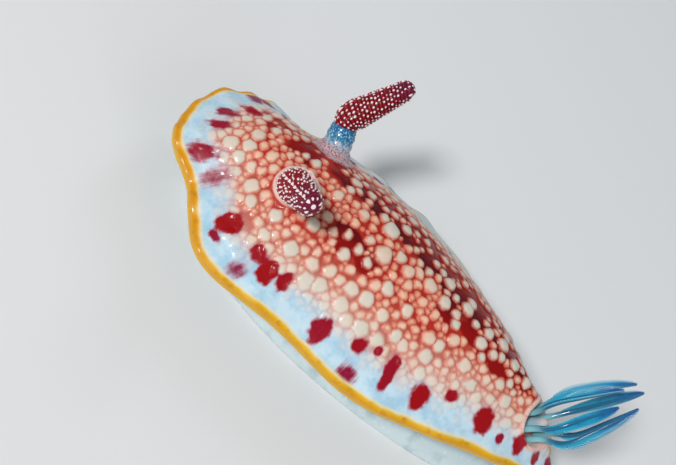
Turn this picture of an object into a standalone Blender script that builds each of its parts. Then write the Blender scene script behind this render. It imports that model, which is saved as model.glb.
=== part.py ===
"""A life-size reticulated sea slug, a dorid nudibranch, crawling on its flat sole.

Metres, +Z up. The head points along -X, the animal's left is -Y, and the origin is the
middle of the sole's front half on the floor. The broad mantle lies over the flanks and the
foot, two lamellate rhinophores stand near its front and a ring of gill plumes near its rear.
"""

import functools
import math

import bmesh
import bpy
import numpy as np
from mathutils import Matrix, Vector

MM = 0.001
TAU = 2 * math.pi
GAP = 0.3 * MM

# Mantle: the oval sheet that covers the back
FRONT_LENGTH = 29.0 * MM
REAR_LENGTH = 38.0 * MM
MANTLE_HALF_WIDTH = 15.2 * MM
FRONT_FULLNESS = 0.90
REAR_FULLNESS = 1.62
RIM_HEIGHT = 6.8 * MM
RIM_THICKNESS = 0.9 * MM
RIM_ROUNDING = 0.985
SPINE_MIDDLE = 2.0 * MM
SPINE_HALF = 20.0 * MM
SKIRT_THICKNESS = 2.2 * MM
WALL_SHARE = 0.66
LID_HEIGHT = 8.5 * MM
MANTLE_CUTS = (-7.0 * MM, 12.0 * MM)

# Folds of the mantle's edge: place and spread in degrees round from the head (the left side
# first), then how far the edge stands out and up
FOLDS = [
    (20, 16, 0.5 * MM, 0.3 * MM),
    (41, 13, -1.2 * MM, -0.3 * MM),
    (62, 15, 2.9 * MM, -0.2 * MM),
    (86, 14, 0.2 * MM, 0.4 * MM),
    (104, 12, 0.9 * MM, 0.0),
    (132, 24, -0.3 * MM, 2.0 * MM),
    (180, 22, 0.2 * MM, -0.8 * MM),
    (203, 20, -0.6 * MM, 0.3 * MM),
    (238, 20, 0.6 * MM, 0.4 * MM),
    (268, 16, -0.3 * MM, 1.0 * MM),
    (292, 16, 0.5 * MM, -0.6 * MM),
    (305, 11, -0.9 * MM, -0.9 * MM),
    (320, 16, 0.1 * MM, 0.8 * MM),
    (340, 14, 0.4 * MM, 0.0),
]

# Height of the back along the midline, from the head's edge to the tail's
CREST = [
    (-29.0 * MM, 6.8 * MM),
    (-25.5 * MM, 9.2 * MM),
    (-22.0 * MM, 11.2 * MM),
    (-17.0 * MM, 13.1 * MM),
    (-9.0 * MM, 14.7 * MM),
    (0.0, 15.5 * MM),
    (9.0 * MM, 15.5 * MM),
    (17.0 * MM, 15.4 * MM),
    (23.0 * MM, 14.6 * MM),
    (29.0 * MM, 12.2 * MM),
    (33.5 * MM, 8.9 * MM),
    (38.0 * MM, 6.4 * MM),
]

# Foot: the sole that it crawls on, with its tail behind the mantle
FOOT_FRONT = 23.0 * MM
FOOT_REAR = 42.0 * MM
FOOT_HALF_WIDTH = 12.4 * MM
FOOT_FRONT_FULLNESS = 0.95
FOOT_REAR_FULLNESS = 1.55
FOOT_EDGE_HEIGHT = 0.8 * MM
FOOT_TOP = 2.5 * MM
FLARE = 2.2
TAIL_CUT = 27.0 * MM
HEAD_CUT = -17.0 * MM

# Tubercles of the back
TUBERCLE_SEED = 11
TUBERCLE_REACH = 0.70
TUBERCLE_CLASSES = [(420, 0.74 * MM, 1.02 * MM), (900, 0.50 * MM, 0.62 * MM)]
TUBERCLE_SPACING = 0.35 * MM
TUBERCLE_RISE = 0.50
TUBERCLE_SINK = 0.45 * MM
TUBERCLE_SIDES = 7

# Rhinophores: stalk, then a lamellate club that bends back. The left one (side -1) is half drawn
# into its sheath, so its stalk is short
RHINOPHORE_PLACES = {-1: (-13.2 * MM, -4.2 * MM), 1: (-12.4 * MM, 6.2 * MM)}
STALK_LEAN = (-0.40, 0.50, 0.77)
STALK_LENGTHS = {-1: 2.2 * MM, 1: 5.2 * MM}
STALK_RADII = (2.0 * MM, 1.4 * MM)
CLUB_LENGTH = 10.4 * MM
CLUB_LEANS = {-1: (0.32, -0.68, 0.66), 1: (0.32, 0.68, 0.66)}
CLUB_BEND = 0.25
CLUB_HALF_WIDTH = 2.1 * MM
CLUB_HALF_DEPTH = 1.85 * MM
CLUB_RIDGES = 11
RIDGE_DEPTH = 0.26 * MM
SHEATH_RADIUS = 2.85 * MM
SHEATH_BASE = 3.4 * MM
SHEATH_HEIGHT = 0.8 * MM
POCKET_RADIUS = 2.3 * MM
POCKET_DEPTH = 1.9 * MM

# Gill: plumes in a ring inside a raised collar
GILL_PLACE = (29.4 * MM, -0.6 * MM)
GILL_AXIS = (0.38, 0.06, 0.92)
GILL_COLLAR = 3.5 * MM
GILL_COLLAR_BASE = 4.1 * MM
GILL_COLLAR_HEIGHT = 0.8 * MM
GILL_POCKET = 2.9 * MM
GILL_RING = 2.0 * MM
GILL_SWEEP = (0.37, 0.43, 0.80)
PLUMES = 6
PLUME_LENGTH = 15.8 * MM
PLUME_HALF_WIDTH = 1.42 * MM
PLUME_CUP = 0.42
PINNA_PAIRS = 8

# Materials: colour, roughness
COLOURS = {
    "mantle": ((0.72, 0.16, 0.11, 1.0), 0.3),
    "flesh": ((0.45, 0.60, 0.68, 1.0), 0.35),
    "stalk": ((0.20, 0.50, 0.68, 1.0), 0.35),
    "club": ((0.30, 0.01, 0.03, 1.0), 0.4),
    "gill": ((0.12, 0.50, 0.68, 1.0), 0.35),
}

ANGLE_STEPS = 72
TOP_SHARES = [0.0, 0.14, 0.28, 0.42, 0.55, 0.68, 0.79, 0.89, RIM_ROUNDING]


def clear_scene():
    for thing in list(bpy.data.objects):
        bpy.data.objects.remove(thing)


def material(name):
    found = bpy.data.materials.get(name)
    if found:
        return found
    colour, roughness = COLOURS[name]
    made = bpy.data.materials.new(name)
    made.use_nodes = True
    shader = made.node_tree.nodes["Principled BSDF"]
    shader.inputs["Base Color"].default_value = colour
    shader.inputs["Roughness"].default_value = roughness
    shader.inputs["Metallic"].default_value = 0.0
    return made


def mix(a, b, share):
    return a + (b - a) * share


def smooth(share):
    share = min(1.0, max(0.0, share))
    return share * share * (3 - 2 * share)


# Shape of the animal


def rim(angle):
    """A point on the mantle's edge, angle radians round from the head by the left side."""
    c, s = math.cos(angle), math.sin(angle)
    rear = (1 - c) / 2
    fullness = mix(FRONT_FULLNESS, REAR_FULLNESS, rear)
    point = Vector((
        -c * mix(FRONT_LENGTH, REAR_LENGTH, rear),
        -MANTLE_HALF_WIDTH * math.copysign(abs(s) ** fullness, s),
        RIM_HEIGHT,
    ))
    outward = Vector((-c * MANTLE_HALF_WIDTH, -s * (FRONT_LENGTH + REAR_LENGTH) / 2, 0)).normalized()
    for place, spread, out, up in FOLDS:
        away = (angle - math.radians(place) + math.pi) % TAU - math.pi
        share = math.exp(-((away / math.radians(spread)) ** 2))
        point += outward * out * share
        point.z += up * share
    return point


def crest_height(x):
    return float(np.interp(x, *zip(*CREST)))


def dorsum(angle, share):
    """A point of the back: share runs from 0 on the midline to 1 at the mantle's edge."""
    edge = rim(angle)
    spine = SPINE_MIDDLE - SPINE_HALF * math.cos(angle)
    x = mix(spine, edge.x, share)
    top = crest_height(mix(spine, x, 0.35))
    dome = 0.6 * (1 - share**2.4) + 0.2 * (1 + math.cos(math.pi * share))
    return Vector((x, edge.y * share, mix(edge.z, top, dome)))


def dorsum_normal(angle, share):
    step = 0.01
    along = dorsum(angle + step, share) - dorsum(angle - step, share)
    across = dorsum(angle, share + step) - dorsum(angle, share - step)
    normal = across.cross(along).normalized()
    return normal if normal.z > 0 else -normal


def skirt_under(angle, share):
    """The underside of the free mantle edge."""
    point = dorsum(angle, share)
    inward = smooth((RIM_ROUNDING - share) / (RIM_ROUNDING - WALL_SHARE))
    point.z -= mix(RIM_THICKNESS, SKIRT_THICKNESS, inward)
    return point


def lid(angle, share):
    """The level where the mantle lies on the flanks, inside the skirt."""
    point = dorsum(angle, share * WALL_SHARE)
    point.z = mix(LID_HEIGHT, skirt_under(angle, WALL_SHARE).z, share**2)
    return point


def foot_edge(angle):
    c, s = math.cos(angle), math.sin(angle)
    rear = (1 - c) / 2
    fullness = mix(FOOT_FRONT_FULLNESS, FOOT_REAR_FULLNESS, rear)
    return Vector((
        -c * mix(FOOT_FRONT, FOOT_REAR, rear),
        -FOOT_HALF_WIDTH * math.copysign(abs(s) ** fullness, s),
        FOOT_EDGE_HEIGHT,
    ))


def flank(angle, height):
    """The side of the body at a height: it falls from the lid and flares into the foot's edge."""
    top = lid(angle, 1.0)
    edge = foot_edge(angle)
    down = (top.z - height) / (top.z - edge.z)
    point = top.lerp(edge, down**FLARE)
    point.z = height
    return point


# Mesh helpers


def folded(ring):
    """The ring pressed flat on the midline, so that its two halves share their points."""
    count = len(ring)
    return [Vector((ring[min(i, count - i)].x, 0, ring[min(i, count - i)].z)) for i in range(count)]


def new_object(name, mesh, finish):
    made = bpy.data.objects.new(name, mesh)
    bpy.context.scene.collection.objects.link(made)
    made.data.materials.clear()
    made.data.materials.append(material(finish))
    return made


def closed_mesh(name, points, faces):
    mesh = bpy.data.meshes.new(name)
    mesh.from_pydata(points, [], faces)
    shape = bmesh.new()
    shape.from_mesh(mesh)
    bmesh.ops.remove_doubles(shape, verts=shape.verts, dist=1e-7)
    bmesh.ops.triangulate(shape, faces=shape.faces)
    bmesh.ops.recalc_face_normals(shape, faces=shape.faces)
    shape.to_mesh(mesh)
    shape.free()
    mesh.shade_smooth()
    mesh.set_sharp_from_angle(angle=math.radians(50))
    return mesh


def loft(name, rings, finish):
    """A closed body through rings of equal count; end rings are folded or end in a cap."""
    count = len(rings[0])
    points = [point for ring in rings for point in ring]
    faces = []
    for level in range(len(rings) - 1):
        for i in range(count):
            j = (i + 1) % count
            faces.append((level * count + i, level * count + j, (level + 1) * count + j, (level + 1) * count + i))
    for level in (0, len(rings) - 1):
        if any(abs(point.y) > 1e-9 for point in rings[level]) or count < ANGLE_STEPS:
            faces.append(tuple(level * count + i for i in range(count)))
    return new_object(name, closed_mesh(name, points, faces), finish)


def ring_at(function, *args):
    return [function(TAU * i / ANGLE_STEPS, *args) for i in range(ANGLE_STEPS)]


def lowered(ring, drop):
    return [point - Vector((0, 0, drop)) for point in ring]


def cross_axes(direction):
    """Two directions across this one, the first one lying level."""
    side = Vector((0, 0, 1)).cross(direction)
    side = side.normalized() if side.length > 1e-6 else Vector((1, 0, 0))
    return side, direction.cross(side).normalized()


def turned(name, centre, axis, profile, sides, finish):
    """A closed solid of revolution: profile lists (distance along the axis, radius)."""
    axis = axis.normalized()
    u, v = cross_axes(axis)
    rings = []
    for along, radius in profile:
        rings.append([
            centre + axis * along + (u * math.cos(TAU * i / sides) + v * math.sin(TAU * i / sides)) * radius
            for i in range(sides)
        ])
    return loft(name, rings, finish)


def box(name, low, high):
    shape = bmesh.new()
    bmesh.ops.create_cube(shape, size=1.0)
    size = Vector(high) - Vector(low)
    middle = (Vector(high) + Vector(low)) / 2
    bmesh.ops.transform(shape, matrix=Matrix.Translation(middle) @ Matrix.Diagonal((*size, 1)), verts=shape.verts)
    mesh = bpy.data.meshes.new(name)
    shape.to_mesh(mesh)
    shape.free()
    return new_object(name, mesh, "flesh")


def combine(target, others, operation):
    """One Boolean on a collection of closed pieces, applied, with the pieces then removed."""
    pieces = bpy.data.collections.new("pieces")
    bpy.context.scene.collection.children.link(pieces)
    for other in others:
        bpy.context.scene.collection.objects.unlink(other)
        pieces.objects.link(other)
    step = target.modifiers.new("combine", "BOOLEAN")
    step.operation = operation
    step.operand_type = "COLLECTION"
    step.collection = pieces
    step.solver = "EXACT"
    bpy.context.view_layer.update()
    graph = bpy.context.evaluated_depsgraph_get()
    made = bpy.data.meshes.new_from_object(target.evaluated_get(graph))
    target.modifiers.clear()
    target.data = made
    for other in others:
        bpy.data.objects.remove(other)
    bpy.data.collections.remove(pieces)
    keep_largest(target)
    return target


def keep_largest(target):
    """Keeps only the largest closed surface of an object."""
    shape = bmesh.new()
    shape.from_mesh(target.data)
    left = set(shape.verts)
    groups = []
    while left:
        reached = [left.pop()]
        group = list(reached)
        while reached:
            vertex = reached.pop()
            for edge in vertex.link_edges:
                other = edge.other_vert(vertex)
                if other in left:
                    left.remove(other)
                    reached.append(other)
                    group.append(other)
        groups.append(group)
    groups.sort(key=len)
    for group in groups[:-1]:
        bmesh.ops.delete(shape, geom=group, context="VERTS")
    bmesh.ops.triangulate(shape, faces=shape.faces)
    shape.to_mesh(target.data)
    shape.free()


def copy_of(target, name):
    made = target.copy()
    made.data = target.data.copy()
    made.name = name
    bpy.context.scene.collection.objects.link(made)
    return made


def cut_into(target, cuts, names):
    """Parts a body crosswise at the x of each cut, with a thin gap, into named lengths."""
    far = 0.1
    bounds = [-far, *cuts, far]
    parts = []
    for index, name in enumerate(names):
        low = bounds[index] + (GAP / 2 if index else 0)
        high = bounds[index + 1] - (GAP / 2 if index + 1 < len(names) else 0)
        part = copy_of(target, name)
        ends = []
        if index:
            ends.append(box("end", (-2 * far, -far, -far), (low, far, far)))
        if index + 1 < len(names):
            ends.append(box("end", (high, -far, -far), (2 * far, far, far)))
        parts.append(combine(part, ends, "DIFFERENCE"))
    bpy.data.objects.remove(target)
    return parts


# Body, from the floor up


def make_foot():
    sole = ring_at(foot_edge)
    inner = [Vector((point.x * 0.975, point.y * 0.975, 0)) for point in sole]
    heights = [FOOT_TOP - GAP / 2, mix(FOOT_TOP, FOOT_EDGE_HEIGHT, 0.35), mix(FOOT_TOP, FOOT_EDGE_HEIGHT, 0.7)]
    sides = [ring_at(flank, height) for height in heights]
    top = sides[0]
    half_top = [Vector((mix(point.x, 5 * MM, 0.4), point.y * 0.5, point.z)) for point in top]
    half_sole = [Vector((mix(point.x, 5 * MM, 0.4), point.y * 0.5, 0)) for point in sole]
    rings = [folded(half_top), half_top, *sides, sole, inner, half_sole, folded(half_sole)]
    return cut_into(loft("foot_whole", rings, "flesh"), [TAIL_CUT], ["foot", "tail"])


def make_flanks():
    top = lowered(ring_at(lid, 1.0), GAP)
    roof = lowered(ring_at(lid, 0.5), GAP)
    bottom = FOOT_TOP + GAP / 2
    walls = []
    for share in (0.2, 0.4, 0.6, 0.8, 1.0):
        walls.append([flank(TAU * i / ANGLE_STEPS, mix(top[i].z, bottom, share)) for i in range(ANGLE_STEPS)])
    floor = [Vector((mix(point.x, 2 * MM, 0.4), point.y * 0.5, point.z)) for point in walls[-1]]
    rings = [folded(lowered(ring_at(lid, 0.0), GAP)), roof, top, *walls, floor, folded(floor)]
    return cut_into(loft("flanks_whole", rings, "flesh"), [HEAD_CUT], ["head", "flanks"])


def make_mantle():
    top = [ring_at(dorsum, share) for share in TOP_SHARES]
    edge = lowered(ring_at(rim), RIM_THICKNESS / 2)
    under = [ring_at(skirt_under, share) for share in (RIM_ROUNDING, 0.9, 0.78, WALL_SHARE)]
    inside = [ring_at(lid, 0.5), folded(ring_at(lid, 0.0))]
    rings = [folded(top[0]), *top[1:], edge, *under, *inside]
    return loft("mantle_whole", rings, "mantle")


@functools.cache
def on_back(x, y):
    """The point of the back above a plan position, found on a grid that closes in on it."""
    angle, share, reach = 0.0, 0.5, 1.0
    for _ in range(8):
        turns = [angle + math.pi * reach * i / 12 for i in range(-12, 13)]
        shares = [min(1.0, max(0.0, share + 0.5 * reach * j / 12)) for j in range(-12, 13)]
        places = [(turn, out) for turn in turns for out in shares]
        angle, share = min(places, key=lambda place: (dorsum(*place).xy - Vector((x, y))).length)
        reach *= 0.35
    return dorsum(angle, share)


def rhinophore_root(side):
    return on_back(*RHINOPHORE_PLACES[side]).copy()


def gill_root():
    return on_back(*GILL_PLACE).copy()


def scattered_tubercles(keep_clear):
    """Seeded places of the larger tubercles: (point, normal, radius), none on another."""
    draw = np.random.default_rng(TUBERCLE_SEED)
    taken = list(keep_clear)
    found = []
    for tries, least, most in TUBERCLE_CLASSES:
        for _ in range(tries):
            angle = draw.uniform(0, TAU)
            share = math.sqrt(draw.uniform(0, 1)) * TUBERCLE_REACH
            radius = draw.uniform(least, most)
            point = dorsum(angle, share)
            if all((point - other).length > radius + room + TUBERCLE_SPACING for other, room in taken):
                taken.append((point, radius))
                found.append((point, dorsum_normal(angle, max(share, 0.02)), radius))
    return found


def tubercle(point, normal, radius):
    rise = radius * TUBERCLE_RISE
    profile = [(rise, radius * 0.45), (rise * 0.45, radius * 0.86), (-TUBERCLE_SINK, radius)]
    return turned("tubercle", point, normal, profile, TUBERCLE_SIDES, "mantle")


def collar(root, axis, base, radius, height):
    """The raised lip round a pocket, sunk well into the back."""
    profile = [(-1.2 * MM, base * 0.8), (0.0, base), (height * 0.6, radius * 1.04), (height, radius * 0.9)]
    return turned("collar", root, axis, profile, 24, "mantle")


def pocket(root, axis, radius, depth, height):
    profile = [(-depth, radius), (height, radius), (height + 3 * MM, radius * 1.3)]
    return turned("pocket", root, axis, profile, 20, "mantle")


def make_back():
    """The mantle in three lengths, with tubercles, rhinophore sheaths and the gill's collar."""
    gill_axis = Vector(GILL_AXIS).normalized()
    roots = [rhinophore_root(-1), rhinophore_root(1), gill_root()]
    axes = [lean(-1), lean(1), gill_axis]
    rooms = [SHEATH_BASE - 0.2 * MM, SHEATH_BASE - 0.2 * MM, GILL_COLLAR_BASE]
    tubercles = scattered_tubercles(list(zip(roots, rooms)))
    parts = cut_into(make_mantle(), MANTLE_CUTS, ["mantle_front", "mantle_middle", "mantle_rear"])
    bounds = [-1.0, *MANTLE_CUTS, 1.0]
    for index, part in enumerate(parts):
        grown = []
        for point, normal, radius in tubercles:
            if bounds[index] + radius + GAP < point.x < bounds[index + 1] - radius - GAP:
                grown.append(tubercle(point, normal, radius))
        if index == 0:
            for root, axis in zip(roots[:2], axes[:2]):
                grown.append(collar(root, axis, SHEATH_BASE, SHEATH_RADIUS, SHEATH_HEIGHT))
        if index == 2:
            grown.append(collar(roots[2], gill_axis, GILL_COLLAR_BASE, GILL_COLLAR, GILL_COLLAR_HEIGHT))
        combine(part, grown, "UNION")
    sheath_cuts = [pocket(root, axis, POCKET_RADIUS, POCKET_DEPTH, SHEATH_HEIGHT) for root, axis in zip(roots[:2], axes[:2])]
    combine(parts[0], sheath_cuts, "DIFFERENCE")
    combine(parts[2], [pocket(roots[2], gill_axis, GILL_POCKET, POCKET_DEPTH, GILL_COLLAR_HEIGHT)], "DIFFERENCE")
    return parts


# Rhinophores


def lean(side):
    x, y, z = STALK_LEAN
    return Vector((x, side * y, z)).normalized()


def club_line(side, share):
    """The club's curved centreline above the stalk, and its direction there."""
    start = lean(side)
    end = Vector(CLUB_LEANS[side]).normalized()
    steps = 24
    point = rhinophore_root(side) + start * (STALK_LENGTHS[side] - POCKET_DEPTH + 2 * GAP)
    for i in range(round(steps * share)):
        direction = start.lerp(end, smooth((i + 0.5) / steps / CLUB_BEND)).normalized()
        point += direction * CLUB_LENGTH / steps
    direction = start.lerp(end, smooth(share / CLUB_BEND)).normalized()
    return point, direction


def club_radius(share):
    """Half width of the club as a share of its widest, from its round base to its blunt tip."""
    base = math.sqrt(max(0.0, 1 - (1 - min(share / 0.22, 1)) ** 2))
    tip = math.sqrt(max(0.0, 1 - max(0.0, (share - 0.90) / 0.10) ** 2))
    return (0.55 + 0.45 * base) * (1 - 0.40 * max(0.0, share - 0.25) / 0.75) * (0.3 + 0.7 * tip)


def make_rhinophore(side, word):
    root = rhinophore_root(side)
    axis = lean(side)
    wide, narrow = STALK_RADII
    low, length = -(POCKET_DEPTH - GAP), STALK_LENGTHS[side]
    profile = [(low, wide), (low + length * 0.5, mix(wide, narrow, 0.7)), (low + length, narrow)]
    turned(f"rhinophore_stalk_{word}", root, axis, profile, 16, "stalk")
    rings = []
    levels = CLUB_RIDGES * 2
    for level in range(levels + 1):
        share = level / levels
        centre, direction = club_line(side, share)
        forward = (Vector((-1, 0, 0)) - direction * direction.dot(Vector((-1, 0, 0)))).normalized()
        across = direction.cross(forward)
        scale = club_radius(share)
        groove = RIDGE_DEPTH if level % 2 == 0 and 0 < level < levels else 0.0
        ring = []
        for i in range(14):
            turn = TAU * i / 14
            a = max(0.25 * MM, CLUB_HALF_DEPTH * scale - groove) * math.cos(turn)
            b = max(0.25 * MM, CLUB_HALF_WIDTH * scale - groove) * math.sin(turn)
            ring.append(centre + forward * a + across * b)
        rings.append(ring)
    loft(f"rhinophore_club_{word}", rings, "club")


# Gill


def plume_frame(index):
    """Foot point, ring axis and outward direction of a plume."""
    axis = Vector(GILL_AXIS).normalized()
    u, v = cross_axes(axis)
    turn = TAU * (index + 0.5) / PLUMES
    outward = (u * math.cos(turn) + v * math.sin(turn)).normalized()
    return gill_root() + outward * GILL_RING - axis * (POCKET_DEPTH - GAP), axis, outward


def plume_heading(index, share):
    """Direction of a plume along its length: up out of the pocket, then out, then with the current."""
    axis, outward = plume_frame(index)[1:]
    flare = (axis + outward * 0.55 + Vector(GILL_SWEEP) * 0.25).normalized()
    end = (Vector(GILL_SWEEP) - outward * 0.17).normalized()
    heading = axis.lerp(flare, smooth((share - 0.08) / 0.14)).normalized()
    return heading.lerp(end, smooth((share - 0.20) / 0.34)).normalized()


def plume_length(index):
    """Plumes shorten round the ring, away from the side that the current reaches last."""
    outward = plume_frame(index)[2]
    return PLUME_LENGTH * (0.88 + 0.12 * outward.dot(Vector(GILL_SWEEP)))


def plume_points(index, shares):
    """Centre, heading and outward direction at each share of the length."""
    point, _, outward = plume_frame(index)
    steps = 120
    found = {}
    for i in range(steps + 1):
        found[i] = point.copy()
        point = point + plume_heading(index, (i + 0.5) / steps) * plume_length(index) / steps
    return [(found[round(share * steps)], plume_heading(index, share), outward) for share in shares]


def leaflet_levels():
    """Levels up a plume as (share, half width, reach ahead): narrow notches part the leaflets."""
    found = [(0.0, 0.42 * MM, 0.0), (0.14, 0.42 * MM, 0.0), (0.26, 0.45 * MM, 0.0)]
    first, last = 0.34, 0.985
    pitch = (last - first) / PINNA_PAIRS
    for pair in range(PINNA_PAIRS):
        share = first + pair * pitch
        height = pair / (PINNA_PAIRS - 1)
        widest = PLUME_HALF_WIDTH * (math.sin(math.pi * mix(0.24, 0.90, height)) ** 0.7)
        found.append((share, widest * 0.96, 0.60 * MM))
        found.append((share + pitch * 0.52, widest, 0.66 * MM))
        found.append((share + pitch * 0.78, 0.50 * MM, 0.15 * MM))
    found[-1] = (last, 0.26 * MM, 0.0)
    return found


def make_plume(index):
    """One plume: a feather with a ridge along its middle and leaflets on both sides."""
    levels = leaflet_levels()
    centres = plume_points(index, [level[0] for level in levels])
    rings = []
    for (share, half, ahead), (centre, heading, outward) in zip(levels, centres):
        across = heading.cross(outward).normalized()
        face = across.cross(heading).normalized()
        stem = mix(0.42, 0.27, share) * MM
        thin = 0.26 * MM if half > 0.3 * MM else 0.2 * MM
        lift = PLUME_CUP * half * half / MM
        rings.append([
            centre + face * stem,
            centre + across * half + face * (thin + lift) + heading * ahead,
            centre + across * half + face * (lift - thin) + heading * ahead,
            centre - face * stem,
            centre - across * half + face * (lift - thin) + heading * ahead,
            centre - across * half + face * (thin + lift) + heading * ahead,
        ])
    loft(f"gill_{index + 1:02d}", rings, "gill")


def make_anal_papilla():
    profile = [(-(POCKET_DEPTH - GAP), 0.9 * MM), (0.6 * MM, 0.75 * MM), (1.3 * MM, 0.5 * MM)]
    turned("anal_papilla", gill_root(), Vector(GILL_AXIS), profile, 12, "flesh")


def make_oral_tentacle(side, word):
    """A short finger beside the mouth, in front of the head."""
    direction = Vector((-0.80, side * 0.55, -0.12)).normalized()
    place = flank(side * math.radians(-14), 4.2 * MM)
    profile = [(GAP * 1.2, 0.85 * MM), (1.2 * MM, 0.72 * MM), (2.1 * MM, 0.45 * MM), (2.5 * MM, 0.15 * MM)]
    turned(f"oral_tentacle_{word}", place, direction, profile, 12, "flesh")


def main():
    clear_scene()
    make_foot()
    make_flanks()
    make_back()
    for side, word in ((-1, "left"), (1, "right")):
        make_rhinophore(side, word)
        make_oral_tentacle(side, word)
    for index in range(PLUMES):
        make_plume(index)
    make_anal_papilla()


main()
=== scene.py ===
# %% [markdown]
# # A reticulated sea slug at life size
#
# The animal is a dorid nudibranch, 71 mm long. Its broad mantle lies over the body like a
# blanket: cream tubercles stand on a red ground, a bluish white border carries crimson
# blotches, and a golden band runs round the rim. Two lamellate rhinophores stand in front and
# a ring of gill plumes stands behind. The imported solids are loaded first. They fix every size
# and place, so each piece made below is built in the same frame, in metres.

# %% Load the solids
import math

import bpy
import numpy as np
from mathutils import Matrix, Vector, noise


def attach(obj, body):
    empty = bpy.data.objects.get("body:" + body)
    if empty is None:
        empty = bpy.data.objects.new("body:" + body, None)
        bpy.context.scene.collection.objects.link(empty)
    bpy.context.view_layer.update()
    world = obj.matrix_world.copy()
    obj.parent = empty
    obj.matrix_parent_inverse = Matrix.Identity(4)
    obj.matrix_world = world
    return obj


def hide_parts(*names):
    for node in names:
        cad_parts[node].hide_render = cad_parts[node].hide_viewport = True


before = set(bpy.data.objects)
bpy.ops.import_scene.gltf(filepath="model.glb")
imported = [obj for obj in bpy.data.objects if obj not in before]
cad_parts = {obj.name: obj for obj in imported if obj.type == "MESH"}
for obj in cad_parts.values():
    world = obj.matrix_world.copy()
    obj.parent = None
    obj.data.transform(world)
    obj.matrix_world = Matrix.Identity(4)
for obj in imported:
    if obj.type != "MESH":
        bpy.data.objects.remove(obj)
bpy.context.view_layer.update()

# %% [markdown]
# ## The shape of the back
#
# A slug has no bones, so its form is best held in a few smooth functions. The rim is an oval
# with folds pushed into it, and the back rises from the rim to a crest. Two numbers name a
# point on it: the turn round from the head, by the left side, and the share of the way from
# the midline out to the rim. All lengths in these functions are millimetres.

# %% Sizes of the mantle
MM = 0.001
TAU = 2 * math.pi
FRONT_LENGTH, REAR_LENGTH, MANTLE_HALF_WIDTH = 29.0, 38.0, 15.2
FRONT_FULLNESS, REAR_FULLNESS = 0.90, 1.62
RIM_HEIGHT, RIM_THICKNESS, RIM_ROUNDING = 6.8, 0.9, 0.985
SPINE_MIDDLE, SPINE_HALF = 2.0, 20.0

# Folds: place and spread in degrees round from the head, then out and up in millimetres
FOLDS = [
    (20, 16, 0.5, 0.3), (41, 13, -1.2, -0.3), (62, 15, 2.9, -0.2), (86, 14, 0.2, 0.4),
    (104, 12, 0.9, 0.0), (132, 24, -0.3, 2.0), (180, 22, 0.2, -0.8), (203, 20, -0.6, 0.3),
    (238, 20, 0.6, 0.4), (268, 16, -0.3, 1.0), (292, 16, 0.5, -0.6), (305, 11, -0.9, -0.9),
    (320, 16, 0.1, 0.8), (340, 14, 0.4, 0.0),
]
# Small frills of the very edge: waves round the rim, then out and up in millimetres
FRILLS = [(13, 0.4, 0.14, 0.16), (23, 2.1, 0.10, 0.12), (41, 4.4, 0.05, 0.05)]
CREST_PLACES = [-29.0, -25.5, -22.0, -17.0, -9.0, 0.0, 9.0, 17.0, 23.0, 29.0, 33.5, 38.0]
CREST_HEIGHTS = [6.8, 9.2, 11.2, 13.1, 14.7, 15.5, 15.5, 15.4, 14.6, 12.2, 8.9, 6.4]
print("mantle:", FRONT_LENGTH + REAR_LENGTH, "mm long,", len(FOLDS), "folds in its rim")


# %% The rim
def blend(a, b, share):
    return a + (b - a) * share


def smooth(share):
    share = np.clip(share, 0, 1)
    return share * share * (3 - 2 * share)


def unit(vector):
    vector = np.asarray(vector, float)
    return vector / np.linalg.norm(vector, axis=-1, keepdims=True)


def rim(turn):
    """Points on the mantle's rim."""
    c, s = np.cos(turn), np.sin(turn)
    rear = (1 - c) / 2
    fullness = blend(FRONT_FULLNESS, REAR_FULLNESS, rear)
    x = -c * blend(FRONT_LENGTH, REAR_LENGTH, rear)
    y = -MANTLE_HALF_WIDTH * np.sign(s) * np.abs(s) ** fullness
    z = RIM_HEIGHT + 0 * turn
    out_x, out_y = -c * MANTLE_HALF_WIDTH, -s * (FRONT_LENGTH + REAR_LENGTH) / 2
    size = np.hypot(out_x, out_y)
    for place, spread, out, up in FOLDS:
        away = (turn - math.radians(place) + math.pi) % TAU - math.pi
        share = np.exp(-((away / math.radians(spread)) ** 2))
        x = x + out_x / size * out * share
        y = y + out_y / size * out * share
        z = z + up * share
    return np.stack([x, y, z], -1)


print("rim at the head", rim(np.array(0.0)))


# %% The back
def frill(turn):
    """The wavy edge of the mantle, as shifts from a smooth one."""
    shift = np.zeros((*np.shape(turn), 3))
    outward = unit(np.stack([-np.cos(turn) * MANTLE_HALF_WIDTH, -np.sin(turn) * FRONT_LENGTH, 0 * turn], -1))
    for waves, start, out, up in FRILLS:
        swing = np.sin(waves * turn + start + 1.7 * np.sin(5 * turn + start))[..., None]
        shift = shift + (outward * out + (0, 0, up)) * swing
    return shift


def back(turn, share):
    """Points on the back, from the midline at share 0 to the rim at share 1."""
    turn, share = np.broadcast_arrays(np.asarray(turn, float), np.asarray(share, float))
    edge = rim(turn)
    spine = SPINE_MIDDLE - SPINE_HALF * np.cos(turn)
    x = blend(spine, edge[..., 0], share)
    top = np.interp(blend(spine, x, 0.35), CREST_PLACES, CREST_HEIGHTS)
    dome = 0.6 * (1 - share**2.4) + 0.2 * (1 + np.cos(math.pi * share))
    points = np.stack([x, edge[..., 1] * share, blend(edge[..., 2], top, dome)], -1)
    return points + frill(turn) * smooth((share - 0.86) / 0.13)[..., None]


def back_normal(turn, share, step=0.01):
    share = np.maximum(share, step)
    along = back(turn + step, share) - back(turn - step, share)
    across = back(turn, share + step) - back(turn, share - step)
    normal = unit(np.cross(across, along))
    return normal * np.sign(normal[..., 2:])


print("crest", back(1.5, 0.0))

# %% [markdown]
# ## The flank and the foot
#
# Under the mantle's skirt the flank falls to the foot and flares into its edge. The foot is a
# flat sole with a pointed tail. These functions follow the solids, so that the finished skin
# lies where the solids are.

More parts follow.
